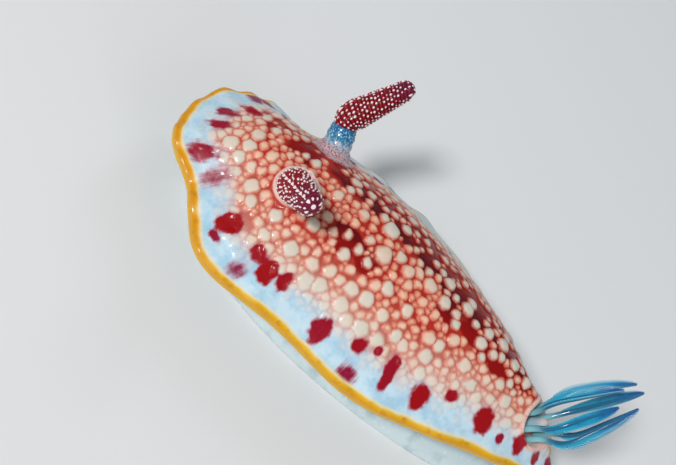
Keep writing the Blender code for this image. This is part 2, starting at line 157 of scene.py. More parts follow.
# %% The underside, the flank and the foot
SKIRT_THICKNESS, WALL_SHARE = 2.2, 0.66
FOOT_FRONT, FOOT_REAR, FOOT_HALF_WIDTH = 23.0, 42.0, 12.4
FOOT_FRONT_FULLNESS, FOOT_REAR_FULLNESS = 0.95, 1.55
FOOT_EDGE_HEIGHT, FLARE = 0.8, 2.2


def skirt_under(turn, share):
    points = back(turn, share)
    inward = smooth((RIM_ROUNDING - share) / (RIM_ROUNDING - WALL_SHARE))
    points[..., 2] -= blend(RIM_THICKNESS, SKIRT_THICKNESS, inward)
    return points


def foot_edge(turn):
    c, s = np.cos(turn), np.sin(turn)
    rear = (1 - c) / 2
    fullness = blend(FOOT_FRONT_FULLNESS, FOOT_REAR_FULLNESS, rear)
    x = -c * blend(FOOT_FRONT, FOOT_REAR, rear)
    y = -FOOT_HALF_WIDTH * np.sign(s) * np.abs(s) ** fullness
    return np.stack([x, y, FOOT_EDGE_HEIGHT + 0 * turn], -1)


def flank(turn, down):
    """The side of the body: down runs from 0 under the skirt to 1 at the foot's edge."""
    top, edge = skirt_under(turn, WALL_SHARE), foot_edge(turn)
    points = blend(top, edge, down**FLARE)
    points[..., 2] = blend(top[..., 2], edge[..., 2], down)
    return points


print("foot from", foot_edge(np.array(0.0)), "to", foot_edge(np.array(math.pi)))

# %% [markdown]
# ## Meshes from rings
#
# Every soft form here is a skin stretched over rings of points, so one helper makes them all.
# Rings may halve their count where the form gets plain, which keeps the mesh light. Values
# that the finishes need, such as the distance to the rim, are stored on the points.


# %% Faces between two rings
def ring_faces(first, second, start_a, start_b):
    """Faces between two rings of point numbers; the second may have half the count."""
    count = len(first)
    nxt = (np.arange(count) + 1) % count
    a, b = first + start_a, second + start_b
    if len(second) == count:
        return [np.stack([a, a[nxt], b[nxt], b], -1)], []
    half = np.arange(0, count, 2)
    near, far = b, b[(np.arange(len(b)) + 1) % len(b)]
    quads = np.stack([a[half + 1], a[(half + 2) % count], far, near], -1)
    return [quads], [np.stack([a[half], a[half + 1], near], -1)]


print("two rings of four:", len(ring_faces(np.arange(4), np.arange(4), 0, 4)[0][0]), "faces")


# %% A mesh from arrays
def add_object(name, data):
    made = bpy.data.objects.new(name, data)
    bpy.context.scene.collection.objects.link(made)
    return made


def mesh_object(name, points, quads, triangles, values, finish):
    """A smooth mesh object from arrays, in millimetres, with named values on its points."""
    mesh = bpy.data.meshes.new(name)
    quads = np.asarray(quads, np.int32).reshape(-1, 4)
    triangles = np.asarray(triangles, np.int32).reshape(-1, 3)
    corners = np.concatenate([quads.ravel(), triangles.ravel()])
    starts = np.concatenate([np.arange(len(quads)) * 4, len(quads) * 4 + np.arange(len(triangles)) * 3])
    mesh.vertices.add(len(points))
    mesh.vertices.foreach_set("co", (np.asarray(points, np.float32) * MM).ravel())
    mesh.loops.add(len(corners))
    mesh.loops.foreach_set("vertex_index", corners)
    mesh.polygons.add(len(starts))
    mesh.polygons.foreach_set("loop_start", starts.astype(np.int32))
    mesh.update(calc_edges=True)
    mesh.validate()
    mesh.shade_smooth()
    for key, value in values.items():
        stored = mesh.attributes.new(key, "FLOAT", "POINT")
        stored.data.foreach_set("value", np.asarray(value, np.float32).ravel())
    mesh.materials.append(finish)
    return add_object(name, mesh)


def settle(piece, slot, *nodes):
    """Fixes a piece to the body and hides the solids it stands for."""
    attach(piece, "root")
    if nodes:
        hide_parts(*nodes)
    print(piece.name, len(piece.data.polygons), "faces")
    return piece


# %% [markdown]
# ## Shader maths
#
# A finish is easier to read as arithmetic than as a tangle of nodes. One small class wraps a
# socket, so that 1 - mask or a * b adds the Math node itself. Paint makes every other node.


# %% Sockets that can be added and multiplied
class Field:
    """A socket that sums can be written with."""

    def __init__(self, paint, socket):
        self.paint, self.socket = paint, socket

    def sum_up(self, operation, first, second):
        return self.paint.node("ShaderNodeMath", {"operation": operation}, {0: first, 1: second})

    def __add__(self, other):
        return self.sum_up("ADD", self, other)

    def __sub__(self, other):
        return self.sum_up("SUBTRACT", self, other)

    def __rsub__(self, other):
        return self.sum_up("SUBTRACT", other, self)

    def __mul__(self, other):
        return self.sum_up("MULTIPLY", self, other)

    __radd__ = __add__
    __rmul__ = __mul__

    def step(self, low, high):
        """0 on low's side, 1 on high's side, smooth between them. High may be the lower number."""
        ends = {"Value": self, "From Min": low, "From Max": high}
        return self.paint.node("ShaderNodeMapRange", {"interpolation_type": "SMOOTHSTEP"}, ends)


# %% Paint
class Paint:
    """The nodes of one finish or of the sky."""

    def __init__(self, owner, shader="Principled BSDF"):
        owner.use_nodes = True
        self.owner, self.tree = owner, owner.node_tree
        self.shader = self.tree.nodes[shader]

    def fill(self, node, inputs):
        for key, value in inputs.items():
            if isinstance(value, Field):
                self.tree.links.new(value.socket, node.inputs[key])
            else:
                node.inputs[key].default_value = value

    def node(self, kind, settings, inputs, output=0):
        made = self.tree.nodes.new(kind)
        for key, value in settings.items():
            setattr(made, key, value)
        self.fill(made, inputs)
        return Field(self, made.outputs[output])

    def value(self, name):
        return self.node("ShaderNodeAttribute", {"attribute_name": name}, {}, "Fac")

    def texture(self, kind, size, settings):
        place = self.node("ShaderNodeTexCoord", {}, {}, "Object")
        return self.node(kind, {}, {"Vector": place, "Scale": 1 / (size * MM), **settings})

    def mottle(self, size, detail=2.0):
        """Soft noise whose patches are about this many millimetres across."""
        return self.texture("ShaderNodeTexNoise", size, {"Detail": detail})

    def cells(self, size):
        """How far each place lies from the nearest of scattered dots, from 0 to about 0.8."""
        return self.texture("ShaderNodeTexVoronoi", size, {})

    def mix(self, first, second, mask):
        first, second = (c if isinstance(c, Field) else (*c, 1.0) for c in (first, second))
        return self.node("ShaderNodeMix", {"data_type": "RGBA"}, {0: mask, 6: first, 7: second}, 2)

    def coats(self, colour, *layers):
        """Mixes layers over a colour in turn. Each layer is a colour and its mask."""
        for layer, mask in layers:
            colour = self.mix(colour, layer, mask)
        return colour

    def bump(self, height, depth, strength):
        inputs = {"Height": height, "Distance": depth * MM, "Strength": strength}
        return self.node("ShaderNodeBump", {}, inputs)

    def finish(self, **inputs):
        self.fill(self.shader, {key.replace("_", " "): value for key, value in inputs.items()})
        return self.owner


trial = Paint(bpy.data.materials.new("trial"))
print("1 - mask adds a node of type", (1 - trial.value("mask")).socket.node.type)
bpy.data.materials.remove(trial.owner)


# %% Wet flesh
FLESH = {
    "Subsurface_Radius": (1.0, 0.45, 0.35), "Subsurface_Scale": 0.6 * MM, "Coat_Roughness": 0.10,
    "IOR": 1.38, "Specular_IOR_Level": 0.22,
}


def wet_flesh(paint, colour, roughness, normal, glow=0.2, coat=0.55):
    """Flesh under a film of water: light sinks in a little, and a clear coat shines."""
    looks = {"Base_Color": colour, "Roughness": roughness, "Normal": normal}
    return paint.finish(**looks, Subsurface_Weight=glow, Coat_Weight=coat, **FLESH)


print("all flesh:", FLESH)

# %% [markdown]
# ## Where the tubercles stand
#
# The tubercles are low round knobs of many sizes, packed close but never on each other. They
# are scattered as a dart player would: a throw counts only where it lands clear of the rest.
# The first throws repeat those of the solids, so the large knobs stand where the solids have
# them. The palest ones of the near side catch the eye, so a short table gives their places.
# The later throws are small and fill the gaps. Each knob then spreads a little past its circle
# until it meets the next one, which leaves the fine red net that names the animal.

# %% Rhinophore and gill roots
RHINOPHORE_PLACES = {-1: (-13.2, -4.2), 1: (-12.4, 6.2)}
GILL_PLACE = (29.4, -0.6)
# Rooms kept free round the roots, by the large knobs and by the small ones of each side (mm)
SHEATH_BASE, SHEATH_ROOMS = 3.4, (2.75, 2.9)
GILL_COLLAR_BASE, GILL_COLLAR, GILL_COLLAR_HEIGHT = 4.1, 3.5, 0.8


def find(x, y):
    """Turn and share of the back above a plan position."""
    turn, share, reach = 0.0, 0.5, 1.0
    steps = np.arange(-12, 13) / 12
    for _ in range(8):
        nearby = np.clip(share + 0.5 * reach * steps, 0, 1)
        turns, shares = np.meshgrid(turn + math.pi * reach * steps, nearby)
        away = np.hypot(*(back(turns, shares)[..., :2] - (x, y)).transpose(2, 0, 1))
        best = np.unravel_index(np.argmin(away), away.shape)
        turn, share = turns[best], shares[best]
        reach *= 0.35
    return turn, share


def rhinophore_root(side):
    return back(*find(*RHINOPHORE_PLACES[side]))


gill_root = back(*find(*GILL_PLACE))
print("roots:", rhinophore_root(-1), rhinophore_root(1), gill_root)

# %% Tables of the tubercles
TUBERCLE_SEED, TUBERCLE_REACH = 11, 0.70
KNOB_SPREAD, KNOB_RISE, KNOB_WARP, CREST_PRIDE = 0.20, 0.40, 0.24, 1.5
# Rounds: how many throws, least and largest radius, and the room left between knobs (mm)
THROWS = [(420, 0.74, 1.02, 0.35), (900, 0.50, 0.62, 0.35)]
FINE_THROWS = [(3500, 0.44, 0.58, 0.07), (9000, 0.32, 0.44, 0.06), (12000, 0.22, 0.32, 0.06)]
# The largest and palest tubercles of the near side: plan position and radius in millimetres
PALE_ONES = [
    (-1.5, 0.4, 1.1), (-0.4, -3.1, 1.1), (-5.2, -0.6, 0.75), (-2.7, -2.8, 0.65), (3.2, -2.3, 0.85),
    (6.4, -1.4, 0.9), (9.1, -1.6, 0.8), (8.4, 1.3, 0.8), (10.9, 2.9, 0.8), (12, 0.4, 0.9),
    (11.2, -1.5, 0.6), (1.3, -6.3, 0.7), (-0.5, -8.3, 0.85), (3.4, -10.3, 0.95), (-20.6, -2.8, 0.8),
    (-20.6, -4.4, 0.75), (-18.6, -4.6, 0.65), (-17, 1, 0.6), (-15.5, 2.5, 0.75), (-12.8, 3.4, 0.7),
    (-13.5, 0.8, 0.65), (-17.8, -2.3, 0.7), (-16.7, -3.4, 0.65), (-17, -6.4, 0.85), (-9.7, 1.3, 0.75),
    (-12.7, -8, 0.8), (-8.8, -9.6, 0.9), (-5.8, -9.2, 0.8), (-8, -11.8, 0.65), (-3.5, -10.2, 0.85),
    (-12.2, -10.3, 0.65), (-15.9, -8.1, 0.7), (5.9, -10, 0.75), (8.6, -8.6, 0.7), (11.5, -7.5, 0.8),
    (11.9, -5.7, 0.8), (12.9, -4.1, 0.7), (16, -5, 0.85), (14.6, -7, 0.5), (12.9, 3.5, 0.6),
    (13.9, 2.2, 0.6), (16.6, 5.4, 0.7), (13.9, -0.4, 0.6), (11.8, -2.5, 0.65), (16, -0.3, 0.75),
    (18.4, 0.7, 0.85), (17.9, -1.6, 0.6), (19.3, -4.1, 0.6), (16.8, -7, 0.6),
]
print(len(PALE_ONES), "pale tubercles, and up to", sum(row[0] for row in THROWS + FINE_THROWS), "thrown")


# %% Throw the tubercles
def throw(draw, taken, rounds, share_at, shrink):
    """Throws of each round that land clear of what is taken and of each other."""
    landed = []
    for tries, least, most, spacing in rounds:
        for _ in range(tries):
            turn, share = draw.uniform(0, TAU), share_at(draw.uniform(0, 1))
            radius = draw.uniform(least, most) * shrink(share)
            point = back(turn, share)
            if (np.linalg.norm(taken[:, :3] - point, axis=1) > radius + taken[:, 3] + spacing).all():
                taken = np.vstack([taken, (*point, radius)])
                landed.append((*point, radius, turn, share))
    return landed


def throw_tubercles():
    """Rows of x, y, z, radius, turn, share."""
    draw = np.random.default_rng(TUBERCLE_SEED)
    rooms = [(rhinophore_root(-1), SHEATH_BASE - 0.2), (rhinophore_root(1), SHEATH_BASE - 0.2)]
    rooms.append((gill_root, GILL_COLLAR_BASE))
    taken = np.array([(*place, room) for place, room in rooms])
    found = throw(draw, taken, THROWS, lambda chance: math.sqrt(chance) * TUBERCLE_REACH, lambda share: 1.0)
    # On the skin the sizes differ less, and the palest knobs stand where the animal has them
    sizes = [blend(knob[3], 0.56, 0.45) + draw.uniform(-0.06, 0.10) for knob in found]
    found = np.array(found)
    found[:, 3] = sizes
    for x, y, radius in PALE_ONES:
        turn, share = find(x, y)
        point = back(turn, share)
        clear = np.linalg.norm(found[:, :3] - point, axis=1) > radius + found[:, 3] * 0.85
        found = np.vstack([found[clear], (*point, radius, turn, share)])
    taken = np.vstack([taken, found[:, :4]])
    taken[:3, 3] = (*SHEATH_ROOMS, GILL_COLLAR)
    # Towards the rim the small ones lie thinner and shrink a little
    small = throw(
        draw, taken, FINE_THROWS, lambda chance: 0.82 * (math.sqrt(1 + 3.41 * chance) - 1) / 1.1,
        lambda share: 1 - 0.15 * smooth((share - 0.6) / 0.2),
    )
    return np.vstack([found, small])


tubercles = throw_tubercles()
print(len(tubercles), "tubercles, radii", tubercles[:, 3].min(), "to", tubercles[:, 3].max())

# %% [markdown]
# ## Blotches and flushes of red
#
# Crimson blotches lie in the pale border, each with its own size and slant, and a deep red
# flush spreads under the tubercles along the crest. Both are painted as soft values on the
# skin's points. The far side, which has the same border, gets blotches from a seeded draw.

# %% Tables of the markings
# Turn in degrees, share, half length inwards and half width along the rim in millimetres,
# slant in degrees, softness, violet
BLOTCHES = [
    (330, 0.86, 1.1, 0.9, 20, 0.5, 0.9), (356, 0.67, 1.3, 0.8, 15, 0.4, 0.4),
    (342, 0.57, 1.3, 0.8, 10, 0.5, 0.2), (8, 0.63, 1.25, 0.8, 10, 0.45, 0.3),
    (28, 0.81, 1.7, 1.1, -12, 0.45, 0.35), (40, 0.81, 1.35, 1.1, 0, 0.9, 0.2),
    (56, 0.78, 1.45, 1.45, 10, 0.12, 0.0), (58, 0.88, 0.45, 1.0, 10, 0.3, 0.4),
    (67, 0.73, 0.75, 1.25, 0, 0.3, 0.1), (68, 0.89, 0.9, 0.85, 0, 0.8, 0.7),
    (72, 0.79, 1.25, 1.15, 0, 0.12, 0.0), (76, 0.77, 0.95, 0.85, 0, 0.2, 0.1),
    (90, 0.84, 1.3, 1.15, 20, 0.15, 0.25), (98, 0.74, 0.75, 0.9, 35, 0.25, 0.1),
    (102, 0.68, 0.5, 0.45, 0, 0.3, 0.2), (100, 0.91, 0.8, 1.15, 0, 0.6, 0.6),
    (107, 0.75, 1.95, 0.75, 8, 0.15, 0.2), (116, 0.79, 1.2, 1.3, 0, 0.12, 0.0),
    (123, 0.68, 0.7, 0.75, 0, 0.25, 0.1), (134, 0.74, 1.45, 1.25, 0, 0.12, 0.0),
    (140, 0.81, 0.55, 0.55, 0, 0.3, 0.4), (148, 0.77, 1.2, 0.9, 0, 0.2, 0.1),
    (158, 0.84, 0.9, 0.7, 0, 0.3, 0.2), (171, 0.86, 1.0, 0.9, 0, 0.3, 0.3),
]
# Plan position, half sizes (mm) and strength of the deep flushes
FLUSHES = [
    (-4.7, -4.7, 2.2, 1.9, 1.0), (-1.5, -4.8, 1.9, 1.6, 0.9), (4.0, 3.4, 14.0, 3.4, 0.95),
    (16.0, 2.0, 10.0, 3.4, 1.0), (10.3, -2.3, 1.7, 1.2, 1.0), (13.9, -1.8, 1.7, 1.2, 1.0),
    (16.8, -1.9, 1.6, 1.2, 1.0), (19.3, -1.9, 1.6, 1.2, 0.9), (22.5, -1.0, 2.4, 2.0, 0.8),
    (-15.5, 1.9, 2.4, 2.6, 1.0), (-20.5, 3.2, 2.4, 2.0, 0.7), (-8.5, 3.6, 4.0, 2.6, 0.9),
]
BLOTCH_SEED, KNOB_SEED = 5, 21


def far_blotches(count=17):
    draw = np.random.default_rng(BLOTCH_SEED)
    places = np.linspace(192, 326, count) + draw.uniform(-3, 3, count)
    sizes = draw.uniform(0.5, 1.35, (count, 2))
    rows = []
    for place, size in zip(places, sizes):
        share, slant = draw.uniform(0.68, 0.86), draw.uniform(-25, 25)
        rows.append((place, share, *size, slant, draw.uniform(0.15, 0.5), draw.uniform(0, 0.5)))
    return rows


print(len(BLOTCHES), "blotches on the near side,", len(far_blotches()), "on the far side")


# %% Soft values for the markings
def wander(points, size, seed):
    """Smooth noise on points, about -1 to 1, with patches of this size in millimetres."""
    places = [Vector(point) / size + Vector((seed, 0, 0)) for point in points.reshape(-1, 3)]
    return np.array([noise.noise(place) for place in places]).reshape(points.shape[:-1])


def paint_blotches(points):
    """How much blotch, and how violet, at each point."""
    ragged = 0.36 * wander(points, 1.1, 3.1) + 0.14 * wander(points, 0.45, 8.3)
    cover, violet = np.zeros(points.shape[:-1]), np.zeros(points.shape[:-1])
    for degrees, share, inward, along, slant, soft, hue in [*BLOTCHES, *far_blotches()]:
        turn = math.radians(degrees)
        place = back(turn, share)
        out = unit((back(turn, share + 0.02) - place)[:2])
        lean = math.radians(slant)
        out = out * math.cos(lean) + np.array([-out[1], out[0]]) * math.sin(lean)
        away = points[..., :2] - place[:2]
        beside = away @ np.array([-out[1], out[0]])
        streaks = 0.24 * np.sin(7.3 * beside + degrees) + 0.14 * np.sin(16.7 * beside + 2 * degrees)
        q = np.hypot((away @ out) / inward, beside / along) + ragged + min(soft, 0.5) * streaks
        mask = 1 - smooth((q - 0.70 + soft * 0.7) / (0.60 + 1.8 * soft))
        violet = np.where(mask > cover, hue, violet)
        cover = np.maximum(cover, mask * (1 - 0.4 * soft))
    return cover, violet


def paint_flush(points):
    cover = np.zeros(points.shape[:-1])
    ragged = 0.35 * wander(points, 1.8, 5.5)
    for x, y, half_x, half_y, strength in FLUSHES:
        q = np.hypot((points[..., 0] - x) / half_x, (points[..., 1] - y) / half_y) + ragged
        cover = np.maximum(cover, strength * (1 - smooth((q - 0.75) / 0.6)))
    return cover


print("flush at the crest", paint_flush(back(1.5, 0.0)))

# %% [markdown]
# ## One skin
#
# A living slug has no seams, so the mantle, its underside, the flank and the foot are one
# closed skin that stands for all the solids of flesh. The back is meshed finely enough for
# its knobs, 0.15 mm a step, and the smooth underside at half that count. Each knob lifts the
# points inside its circle along the back's normal, which gives real relief from every side.

# %% Turns at an even pace
TURNS, BACK_RINGS, BORDER_RINGS, BORDER_SHARE = 780, 91, 15, 0.80


def even_turns(count):
    """Turns evenly spaced along the back and the same on both sides."""
    fine = np.linspace(0, math.pi, 3001)
    line = back(fine, 0.6)
    along = np.concatenate([[0], np.cumsum(np.linalg.norm(np.diff(line, axis=0), axis=1))])
    half = np.interp(np.linspace(0, along[-1], count // 2 + 1), along, fine)
    return np.concatenate([half, TAU - half[-2:0:-1]])


turns = even_turns(TURNS)
border_shares = np.linspace(BORDER_SHARE, RIM_ROUNDING, BORDER_RINGS)[1:]
top_shares = np.concatenate([np.linspace(0, BORDER_SHARE, BACK_RINGS), border_shares])
top = back(turns, top_shares[:, None])
normals = back_normal(turns, top_shares[:, None])
lengths = np.linalg.norm(np.diff(np.concatenate([top, back(turns, 1.0)[None]]), axis=0), axis=2)
edge = np.cumsum(lengths[::-1], axis=0)[::-1]
print("back:", top.shape, "width from midline to rim", edge[0].min(), "to", edge[0].max())


# %% Raise the tubercles
def raise_knobs():
    """Lift, knob, tone and depth at each point of the back.

    Knob runs from 0 at a knob's foot to 1 at its top. Depth is how far inside the foot a point
    lies. Only the rows and columns near a knob are looked at.
    """
    far_away = 9.0
    nearest, second = (np.full(top.shape[:2], far_away) for _ in range(2))
    inner, depth, size, tone, height = (np.zeros(top.shape[:2]) for _ in range(5))
    warped = top + KNOB_WARP * np.stack([wander(top, 1.0, seed) for seed in (1.2, 4.7, 7.9)], -1)
    warped += 0.3 * KNOB_WARP * np.stack([wander(top, 0.4, seed) for seed in (2.2, 5.7, 8.9)], -1)
    draw = np.random.default_rng(KNOB_SEED)
    blotch_at, flush_at = paint_blotches(tubercles[:, :3])[0], paint_flush(tubercles[:, :3])
    border = np.linalg.norm(back(tubercles[:, 4], 1.0) - tubercles[:, :3], axis=1)
    knobs = zip(tubercles, blotch_at, flush_at, border)
    for (x, y, z, radius, turn, share), blotch, flush, distance in knobs:
        hue, kept = draw.uniform(0, 1), draw.uniform(0, 1)
        if blotch > 0.45 or kept > (distance - 2.4) / 1.8 or (radius < 0.56 and kept < 0.6 * flush):
            continue
        spread = KNOB_SPREAD * blend(1.7, 1.0, smooth((distance - 6.0) / 5.0))
        reach = radius + spread + 0.2
        low, high = np.searchsorted(top_shares, (share - reach / 8.0, share + reach / 8.0))
        rows = slice(max(0, low - 1), high + 1)
        if share < 0.10:
            columns = np.arange(TURNS)
        else:
            middle, wide = np.searchsorted(turns, turn), int(reach / (0.08 + 0.06 * share)) + 3
            columns = np.arange(middle - wide, middle + wide) % TURNS
        place = np.ix_(np.arange(len(top_shares))[rows], np.unique(columns))
        away = np.linalg.norm(warped[place] - (x, y, z), axis=-1)
        gap = away - radius
        first = gap < nearest[place]
        second[place] = np.where(first, nearest[place], np.minimum(second[place], gap))
        nearest[place] = np.where(first, gap, nearest[place])
        pale = 0.28 * hue + 0.60 * smooth((radius - 0.26) / 0.54) + 0.35 * flush
        for field, value in (
            (inner, 1 - away / (radius + spread)), (depth, radius + spread - away), (size, radius),
            (tone, pale), (height, smooth((distance - 3.0) / 4.0)),
        ):
            field[place] = np.where(first, value, field[place])
    # In some patches the knobs flow together
    merged = 0.75 * smooth((wander(top, 2.0, 12.4) - 0.10) / 0.25)
    parted = np.maximum(smooth((second - nearest) / 0.20), merged)
    knob = np.clip(inner, 0, 1) * parted
    # The knobs stand proudest along the crest, where they break its outline
    pride = blend(1.0, CREST_PRIDE, smooth((edge - 9.0) / 4.0))
    rise = KNOB_RISE * size * blend(0.5, 1.0, height) * pride
    lift = rise * np.sqrt(np.clip(1 - (1 - knob) ** 2.4, 0, 1))
    return lift, knob, tone, np.maximum(depth, 0) * parted


lift, knob, tone, depth = raise_knobs()
print("knobs up to", lift.max(), "mm high")

# %% Raise the sheaths and the gill's collar
# Side, shift of the ring from the root, then its radius, width, spread, height and sink (mm)
SHEATHS = [
    (-1, (0.05, 0.34, 0), (2.42, 0.36, 0.9, 0.80, 0.5)),
    (1, (-0.30, 0.28, 0), (2.02, 0.26, 1.3, 1.25, 0.4)),
]


def ring_wall(root, radius, width, spread, height, sink):
    """A raised lip round a root, with a wide foot, and how deep the pocket inside it sinks."""
    away = np.linalg.norm(top - root, axis=-1)
    lip = np.exp(-(((away - radius) / width) ** 2))
    foot = np.exp(-((np.maximum(away - radius, 0) / spread) ** 2)) * smooth((away - radius + width) / width)
    return height * blend(foot, lip, 0.5) - sink * smooth((radius - width - away) / 0.3), lip, foot


sheath, cone, pocket_shade = (np.zeros(top.shape[:2]) for _ in range(3))
# The left club fills a wide pale ring, and the right stalk rises from a cone
for side, shift, shape in SHEATHS:
    centre = rhinophore_root(side) + shift
    wall, lip, foot = ring_wall(centre, *shape)
    lift = lift + wall
    if side < 0:
        sheath = np.maximum(sheath, lip)
    else:
        cone = np.maximum(lip, foot)
    # Inside each ring the pocket is painted as shade, dark crimson, through the blotch value.
    pocket_shade = np.maximum(pocket_shade, smooth((shape[0] - 0.15 - np.linalg.norm(top - centre, axis=-1)) / 0.3))
wall, lip, _ = ring_wall(gill_root, GILL_COLLAR - 0.3, 0.45, 1.4, GILL_COLLAR_HEIGHT * 0.9, 1.6)
lift, sheath = lift + wall, np.maximum(sheath, lip)
lift += 0.10 * wander(top, 5.0, 2.2) * smooth(edge / 3.0) + 0.05 * wander(top, 1.6, 6.0) * (1 - knob)
relief = top + normals * lift[..., None]
print("relief from", lift.min(), "to", lift.max(), "mm")


# %% Close the skin from midline to sole
def folded(count):
    """Point numbers of a ring that is folded flat, so that its right side uses the left one's."""
    order = np.arange(count)
    return np.minimum(order, count - order)


def crease(ring, down):
    """Soft folds of the flank, which run down it and fade out at the foot's edge."""
    outward = unit(ring * (0.15, 1, 0))
    fold = wander(ring * (1, 1, 0.35), 2.6, 9.4) + 0.5 * wander(ring * (1, 1, 0.5), 1.1, 2.8)
    return ring + outward * (0.28 * fold * math.sin(math.pi * min(1, down * 0.92)))[..., None]


SKIRT_RINGS, WALL_RINGS = 9, 18
half_turns = turns[::2]
around = [np.radians(a) for a in (60, 35, 10, -15, -40, -65)]
middle = (back(half_turns, RIM_ROUNDING) + skirt_under(half_turns, RIM_ROUNDING)) / 2
reach = back(half_turns, 1.0) - (0, 0, RIM_THICKNESS / 2) - middle
rounding = [middle + reach * math.cos(a) + (0, 0, RIM_THICKNESS / 2 * math.sin(a)) for a in around]
under_shares = np.linspace(RIM_ROUNDING, WALL_SHARE + 0.02, SKIRT_RINGS)
under = [skirt_under(half_turns, share) for share in under_shares]
wall_rings = [crease(flank(half_turns, down), down) for down in np.linspace(0.03, 1.0, WALL_RINGS)]
sole_edge = foot_edge(half_turns)
toe = [sole_edge * (0.995, 0.995, 0.45), sole_edge * (0.975, 0.975, 0.0)]
sole = [toe[-1] * (share, share, 0) + ((1 - share) * 5.0, 0, 0) for share in (0.85, 0.6, 0.35)]
# The last ring is folded onto the sole's midline
sole.append(sole[-1][folded(len(half_turns))] * (1, 0, 1))
lower = [*rounding, *under, *wall_rings, *toe, *sole]
print(len(relief) + len(lower), "rings from the midline to the sole")


# %% Build the skin
def skin_value(first, fill):
    """A value for all points: an array for the back, then one number for each lower ring."""
    return np.concatenate([first.ravel(), *[np.full(len(half_turns), value) for value in fill]])


def build_skin(finish):
    points = np.concatenate([relief.reshape(-1, 3), *lower])
    order, half_order = np.arange(TURNS), np.arange(len(half_turns))
    upper_rings, lower_rings = [order] * (len(relief) - 1), [half_order] * (len(lower) - 1)
    rings = [folded(TURNS), *upper_rings, *lower_rings, folded(len(half_turns))]
    starts = np.cumsum([0, *map(len, rings)])
    quads, triangles = [], []
    for number in range(len(rings) - 1):
        fours, threes = ring_faces(*rings[number:number + 2], *starts[number:number + 2])
        quads += fours
        triangles += threes
    cover, violet = paint_blotches(top)
    # The blotch value also carries the painted shade in the rhinophore pockets.
    on_back = {
        "knob": knob, "tone": tone, "depth": depth, "blotch": np.maximum(cover, pocket_shade), "violet": violet,
        "flush": paint_flush(top), "sheath": sheath, "cone": cone,
        "fore": smooth((-10.0 - top[..., 0]) / 8.0),
    }
    values = {name: skin_value(value, [0.0] * len(lower)) for name, value in on_back.items()}
    # Beyond the rim the distance to it goes on below 0, and down runs from the skirt to the foot
    deep = len(wall_rings + toe + sole)
    beyond = [*np.linspace(0.12, -0.4, len(rounding)), *np.linspace(-0.5, -6.0, len(under)), *[-8.0] * deep]
    down = [*[0.0] * len(rounding + under), *np.linspace(0, 1, len(wall_rings)), *[1.0] * len(toe + sole)]
    values["edge"] = skin_value(edge, beyond)
    values["down"] = skin_value(np.zeros(top.shape[:2]), down)
    return mesh_object("skin", points, np.concatenate(quads), np.concatenate(triangles), values, finish)


print("the back alone has", relief[..., 0].size, "points")

# %% [markdown]
# ## The finish of the skin
#
# From the rim inwards the colours go from a thin brown edge to gold, to bluish white, and to
# the red ground with its knobs. Each step is a smooth mask on the distance to the rim, and each
# mask mixes one more colour in. A knob's foot is salmon, where the red shines through. Its top
# has one tone, nearly white on the largest knobs and orange on the smallest. Under the skirt
# the flesh is a plain, cool, half clear white.


# %% The red net and its knobs
def net_and_knobs(paint, edge, coarse, fine):
    """The colours inside the border: a red ground, and knobs from salmon to nearly white."""
    flush = (paint.value("flush") + (coarse - 0.5) * 0.5).step(0.15, 0.85)
    inward = edge + (coarse - 0.5) * 4.0 + paint.value("fore") * 2.2
    # Along the crest the deep red flush is painted darker still, as painted shade on the far slope of the
    # back.
    crest = (edge + (coarse - 0.5) * 3.0).step(13.0, 16.5)
    ground = paint.coats(
        (0.58, 0.32, 0.28),
        ((0.49, 0.13, 0.09), inward.step(5.0, 9.5)),
        ((0.43, 0.024, 0.012), inward.step(8.5, 12.5)),
        (paint.mix((0.27, 0.002, 0.002), (0.10, 0.001, 0.004), crest), flush),
    )
    foot = paint.coats(
        (0.66, 0.38, 0.33),
        ((0.60, 0.16, 0.11), inward.step(5.5, 10.0)),
        ((0.42, 0.06, 0.04), flush * 0.8),
    )
    depth, tone = paint.value("depth"), paint.value("tone") + (fine - 0.5) * 0.3
    blush, pale = inward.step(8.5, 13.0), tone.step(0.45, 1.0)
    top = paint.mix((0.70, 0.44, 0.34), (0.76, 0.34, 0.21), blush)
    centre = paint.mix((0.74, 0.66, 0.55), (0.80, 0.58, 0.44), blush * (1 - flush))
    centre = paint.mix(centre, (0.65, 0.63, 0.55), pale * 0.9)
    top = paint.coats(
        paint.mix((0.67, 0.23, 0.14), top, tone.step(0.05, 0.45)),
        ((0.57, 0.55, 0.47), pale * 0.85),
        ((0.64, 0.63, 0.60), inward.step(8.0, 4.0)),
        (centre, (depth + (paint.mottle(0.2) - 0.5) * 0.15).step(0.20, 0.60) * 0.65),
    )
    return paint.coats(
        ground, (foot, depth.step(0.0, 0.10)), (top, (depth + (fine - 0.5) * 0.14).step(0.03, 0.42))
    )


